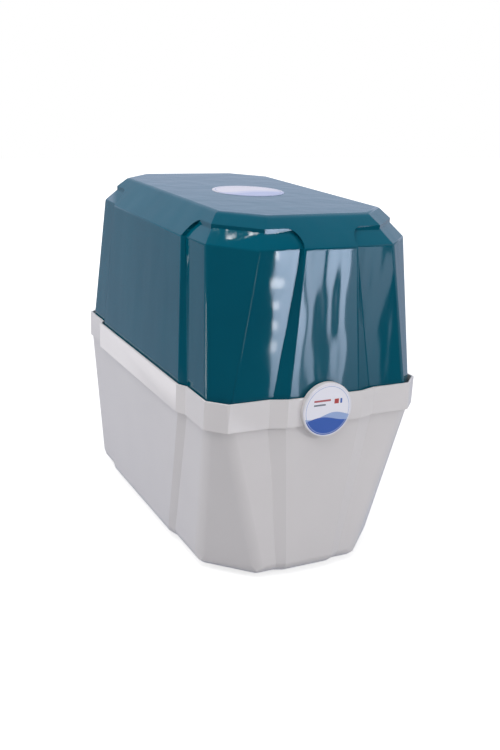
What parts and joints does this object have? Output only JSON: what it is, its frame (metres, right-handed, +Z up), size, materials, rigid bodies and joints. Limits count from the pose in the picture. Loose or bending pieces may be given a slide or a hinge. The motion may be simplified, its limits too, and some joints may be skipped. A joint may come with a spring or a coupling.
{
  "type": "water purifier",
  "caption": "Closed-case countertop water purifier: white tapered tub with a round front badge, translucent teal lift-off cover, tank, filters and tube ports inside.",
  "frame": {"origin": "middle of the bounding box's footprint, on the floor under the rubber feet", "axes": "+X to the right when facing the front, +Y towards the back with the tube ports, +Z up; the front with the round badge faces -Y"},
  "size_m": [0.272, 0.4328, 0.4005],
  "materials": {
    "white_abs": "injection-moulded white plastic, soft gloss, opaque",
    "teal_cover": "transparent deep teal plastic, glossy",
    "front_label": "printed film label, white and blue waves, satin",
    "top_label": "printed film label, pale, satin",
    "foot_rubber": "black rubber, matt",
    "tank_paint": "white powder coat on steel, satin",
    "black_plastic": "black moulded plastic, matt",
    "blue_plastic": "blue moulded plastic, satin",
    "nickel_steel": "stainless steel, machined",
    "white_pp": "white polypropylene, satin",
    "white_acetal": "white acetal, satin",
    "grey_collet": "grey acetal, satin",
    "rack_steel": "white powder coat on steel sheet, satin",
    "white_tube": "white polyethylene tube, smooth",
    "red_tube": "red polyethylene tube, smooth",
    "blue_tube": "blue polyethylene tube, smooth"
  },
  "bodies": {
    "case": {"lower_tub": "white_abs", "badge_disc": "front_label", "rubber_feet": "foot_rubber", "tank_body": "tank_paint", "tank_stand": "black_plastic", "air_valve_cap": "blue_plastic", "tank_neck": "nickel_steel", "ball_valve_body": "white_acetal", "sediment_filter": "white_pp", "carbon_filter": "white_pp", "carbon_block_filter": "white_pp", "polishing_filter": "white_pp", "mineral_filter": "white_pp", "membrane_housing": "white_pp", "membrane_cap": "white_pp", "rack_plate": "rack_steel", "cartridge_clips": "white_acetal", "push_elbows": "white_acetal", "tank_tee": "white_acetal", "shutoff_valve": "white_acetal", "check_valve": "white_acetal", "flow_restrictor": "white_acetal", "bulkhead_unions": "white_acetal", "union_nuts": "white_acetal", "feed_tube": "white_tube", "prefilter_link_tubes": "white_tube", "membrane_feed_tubes": "white_tube", "drain_tubes": "red_tube", "permeate_tubes": "blue_tube", "product_tube": "blue_tube", "tank_tube": "blue_tube", "polish_link_tube": "blue_tube", "outlet_tube": "blue_tube"},
    "cover": {"upper_cover": "teal_cover", "top_label": "top_label"},
    "lever": {"valve_lever": "blue_plastic"},
    "feed_ring": {"feed_collet": "grey_collet"},
    "drain_ring": {"drain_collet": "grey_collet"},
    "outlet_ring": {"outlet_collet": "grey_collet"}
  },
  "joints": [
    {"name": "cover_lift", "type": "slide", "parent": "case", "child": "cover", "axis": [0, 0, 1], "range_m": [0, 0.25]},
    {"name": "valve_turn", "type": "hinge", "parent": "case", "child": "lever", "pos_m": [0, -0.07, 0.312], "axis": [1, 0, 0], "range_deg": [0, 90]},
    {"name": "feed_release", "type": "slide", "parent": "case", "child": "feed_ring", "axis": [0, -1, 0], "range_m": [0, 0.0012]},
    {"name": "drain_release", "type": "slide", "parent": "case", "child": "drain_ring", "axis": [0, -1, 0], "range_m": [0, 0.0012]},
    {"name": "outlet_release", "type": "slide", "parent": "case", "child": "outlet_ring", "axis": [0, -1, 0], "range_m": [0, 0.0012]}
  ]
}
